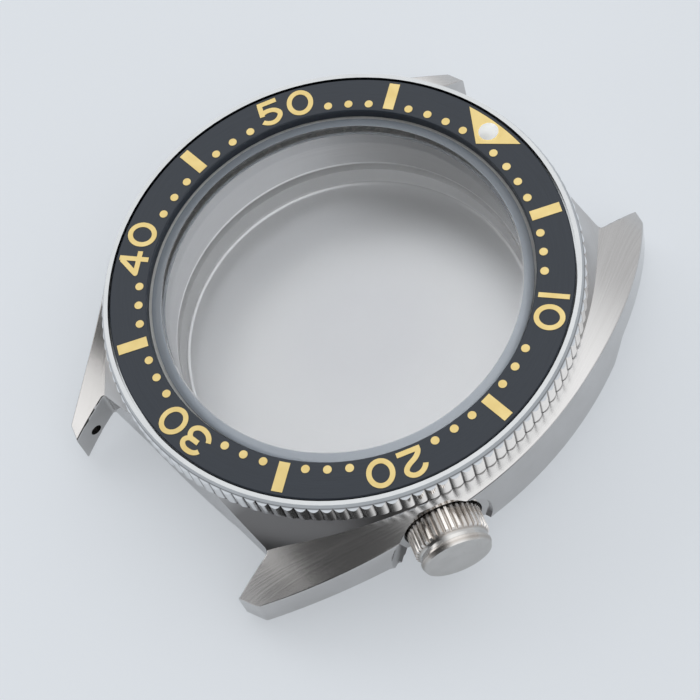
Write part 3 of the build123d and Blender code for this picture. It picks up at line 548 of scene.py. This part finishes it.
def plastic_material(name, colour, roughness):
    m = Nodes(name)
    place = m.coords()
    dark = [c * PLASTIC_DARKER for c in colour]
    m.colour(m.shades(m.noise(place, *PLASTIC_CLOUD), (dark, colour)))
    m.rough(m.spread(m.noise(place, *PLASTIC_SATIN), roughness))
    m.normal(m.bump(m.noise(place, *PLASTIC_GRAIN), *PLASTIC_BUMP))
    return m.material


def glass_material():
    """Clear sapphire with a finely ground bevel round its edge, painted blue-grey as a reflection
    of the surround.
    """
    m = Nodes("sapphire")
    m.set(ior=SAPPHIRE_IOR, metallic=0.0)
    smear = m.noise(m.coords(), *CRYSTAL_SMEAR)
    # Painted reflection: the bevel is painted blue-grey for the surround it mirrors, and is also
    # rougher and less clear.
    bevel = m.remap(m.radius(), CRYSTAL_FLAT_R, CRYSTAL_FLAT_R + GROUND_BLEND, 0.0, 1.0)
    clear = m.ramp(smear, list(zip(SMEAR_COLOUR_RANGE, CRYSTAL_CLEAR)))
    m.colour(m.mix_colour(bevel, clear, CRYSTAL_BEVEL_PAINTED_REFLECTION))
    gloss = m.remap(smear, *SMEAR_ROUGH_RANGE, *CRYSTAL_ROUGH)
    m.rough(m.mix(bevel, gloss, CRYSTAL_GROUND_ROUGH))
    m.link(m.mix(bevel, 1.0, GROUND_TRANSMISSION), m.shader.inputs["Transmission Weight"])
    return m.material


def pearl_material():
    """Glossy white with a little depth."""
    m = Nodes("pearl_white")
    m.set(coat=PEARL_COAT, coat_roughness=PEARL_COAT_ROUGH, subsurface=PEARL_SUBSURFACE)
    m.shader.inputs["Subsurface Radius"].default_value = PEARL_DEPTH
    place = m.coords()
    m.colour(m.shades(m.noise(place, *PEARL_CLOUD), PEARL))
    m.rough(m.spread(m.noise(place, *PEARL_SATIN), PEARL_ROUGH))
    m.normal(m.bump(m.noise(place, *PEARL_GRAIN), *PEARL_BUMP))
    return m.material


case_steel = case_material()
bezel_steel = bezel_material()
crown_steel = crown_material()
spring_steel = spring_material()
back_steel = back_material()
insert_black = insert_material()
gold_mark = gold_material("gold_mark", GOLD_MARK_ROUGH)
gold_cup = gold_material("gold_cup", GOLD_CUP_ROUGH)
seal_rubber = rubber_material("seal_rubber", SEAL_BLACK)
crystal_seal = plastic_material("crystal_seal", SEAL_PALE, CRYSTAL_SEAL_ROUGH)
seal_nylon = plastic_material("seal_nylon", NYLON, NYLON_ROUGH)
adhesive = plastic_material("adhesive", GLUE, GLUE_ROUGH)
sapphire = glass_material()
pearl_white = pearl_material()

CAD_MATERIALS = {
    "mid_case": case_steel,
    "crystal": sapphire,
    "crystal_gasket": crystal_seal,
    "click_spring": spring_steel,
    "bezel_gasket": seal_rubber,
    "bezel_ring": bezel_steel,
    "bezel_wire": spring_steel,
    "bezel_insert": insert_black,
    "insert_adhesive": adhesive,
    "insert_dots": gold_mark,
    "insert_bars": gold_mark,
    "insert_numerals": gold_mark,
    "insert_triangle": gold_mark,
    "pearl_cup": gold_cup,
    "pearl": pearl_white,
    "crown_tube": spring_steel,
    "crown_cap": crown_steel,
    "crown_gasket": seal_rubber,
    "crown_washer": seal_nylon,
    "crown_post": spring_steel,
    "crown_spring": spring_steel,
    "caseback": back_steel,
    "caseback_gasket": seal_rubber,
    "tube_ring_inner": seal_rubber,
    "tube_ring_outer": seal_rubber,
}
for node, material in CAD_MATERIALS.items():
    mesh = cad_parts[node].data
    mesh.materials.clear()
    mesh.materials.append(material)


def photo_camera():
    """A camera at the place the photograph was taken from."""
    data = bpy.data.cameras.new("camera")
    data.sensor_width = CAMERA_SENSOR
    data.lens = CAMERA_LENS
    data.clip_start = CAMERA_NEAR
    data.clip_end = CAMERA_FAR
    camera = bpy.data.objects.new("camera", data)
    camera.location = CAMERA_PLACE
    camera.rotation_euler = [math.radians(a) for a in CAMERA_ANGLES]
    bpy.context.scene.collection.objects.link(camera)
    bpy.context.scene.camera = camera


def floor_material():
    """A pale floor that shows the camera, and metal a little, part of its own plain colour."""
    m = Nodes("floor_pale")
    m.set(roughness=FLOOR_ROUGH, specular=FLOOR_SPECULAR)
    m.shader.inputs["Base Color"].default_value = (*FLOOR_COLOUR, 1)
    glow = m.add("ShaderNodeEmission")
    glow.inputs["Color"].default_value = (*FLOOR_COLOUR, 1)
    rays = m.add("ShaderNodeLightPath")
    direct = m.remap(rays.outputs["Is Camera Ray"], 0.0, 1.0, 0.0, FLOOR_GLOW)
    bounced = m.largest(rays.outputs["Is Glossy Ray"], rays.outputs["Is Transmission Ray"])
    mirrored = m.remap(bounced, 0.0, 1.0, 0.0, FLOOR_GLOW_IN_METAL)
    blend = m.add("ShaderNodeMixShader")
    m.link(m.largest(direct, mirrored), blend.inputs[0])
    m.link(m.shader.outputs[0], blend.inputs[1])
    m.link(glow.outputs[0], blend.inputs[2])
    m.link(blend.outputs[0], m.output.inputs["Surface"])
    return m.material


def pale_floor():
    mesh = bpy.data.meshes.new("floor")
    corners = [(x * FLOOR_HALF, y * FLOOR_HALF, 0) for x, y in ((-1, -1), (1, -1), (1, 1), (-1, 1))]
    mesh.from_pydata(corners, [], [(0, 1, 2, 3)])
    mesh.materials.append(floor_material())
    floor = bpy.data.objects.new("floor", mesh)
    floor.location.z = -FLOOR_GAP * MM
    bpy.context.scene.collection.objects.link(floor)
    return floor


def area_light(name, place, target, side, power, colour):
    """A square lamp that the camera doesn't see."""
    light = bpy.data.lights.new(name, "AREA")
    light.shape = "RECTANGLE"
    light.size = light.size_y = side
    light.energy = power
    light.color = colour
    lamp = bpy.data.objects.new(name, light)
    lamp.location = place
    direction = Vector(target) - Vector(place)
    lamp.rotation_euler = direction.to_track_quat("-Z", "Y").to_euler()
    lamp.visible_camera = False
    bpy.context.scene.collection.objects.link(lamp)


def sky_colour(tree, direction):
    """A surround that grows brighter from the horizon to overhead."""
    split = tree.nodes.new("ShaderNodeSeparateXYZ")
    tree.links.new(direction, split.inputs[0])
    sky = tree.nodes.new("ShaderNodeMix")
    sky.data_type = "RGBA"
    sky.inputs[6].default_value = (*HORIZON_COLOUR, 1)
    sky.inputs[7].default_value = (*OVERHEAD_COLOUR, 1)
    height = tree.nodes.new("ShaderNodeMapRange")
    height.interpolation_type = "SMOOTHSTEP"
    height.inputs["From Min"].default_value = OVERHEAD_START
    height.inputs["From Max"].default_value = OVERHEAD_FULL
    tree.links.new(split.outputs["Z"], height.inputs["Value"])
    tree.links.new(height.outputs["Result"], sky.inputs["Factor"])
    return sky.outputs[2]


def card_shade(tree, direction, card_direction):
    """A strength that falls to CARD_SHADE towards a dark card."""
    card = tree.nodes.new("ShaderNodeVectorMath")
    card.operation = "DOT_PRODUCT"
    card.inputs[1].default_value = Vector(card_direction).normalized()
    tree.links.new(direction, card.inputs[0])
    shade = tree.nodes.new("ShaderNodeMapRange")
    shade.inputs["From Min"].default_value = CARD_EDGE_START
    shade.inputs["From Max"].default_value = CARD_EDGE_END
    shade.inputs["To Min"].default_value = 1.0
    shade.inputs["To Max"].default_value = CARD_SHADE
    tree.links.new(card.outputs["Value"], shade.inputs["Value"])
    return shade.outputs["Result"]


def studio_world():
    """A pale soft surround with dark cards beyond 6 o'clock; the backdrop is plain."""
    world = bpy.data.worlds.new("world")
    bpy.context.scene.world = world
    world.use_nodes = True
    tree = world.node_tree
    direction = tree.nodes.new("ShaderNodeTexCoord").outputs["Generated"]
    surround = tree.nodes["Background"]
    tree.links.new(sky_colour(tree, direction), surround.inputs["Color"])
    strength = tree.nodes.new("ShaderNodeMath")
    strength.operation = "MINIMUM"
    for socket, card_direction in zip(strength.inputs, CARD_DIRECTIONS):
        tree.links.new(card_shade(tree, direction, card_direction), socket)
    tree.links.new(strength.outputs[0], surround.inputs["Strength"])
    backdrop = tree.nodes.new("ShaderNodeBackground")
    backdrop.inputs["Color"].default_value = (*FLOOR_COLOUR, 1)
    seen = tree.nodes.new("ShaderNodeLightPath")
    mix = tree.nodes.new("ShaderNodeMixShader")
    tree.links.new(seen.outputs["Is Camera Ray"], mix.inputs[0])
    tree.links.new(surround.outputs[0], mix.inputs[1])
    tree.links.new(backdrop.outputs[0], mix.inputs[2])
    tree.links.new(mix.outputs[0], tree.nodes["World Output"].inputs["Surface"])


photo_camera()
floor = pale_floor()
for lamp_name, lamp_values in LAMPS.items():
    area_light(lamp_name, *lamp_values)
studio_world()

bpy.context.scene.view_settings.view_transform = "Standard"
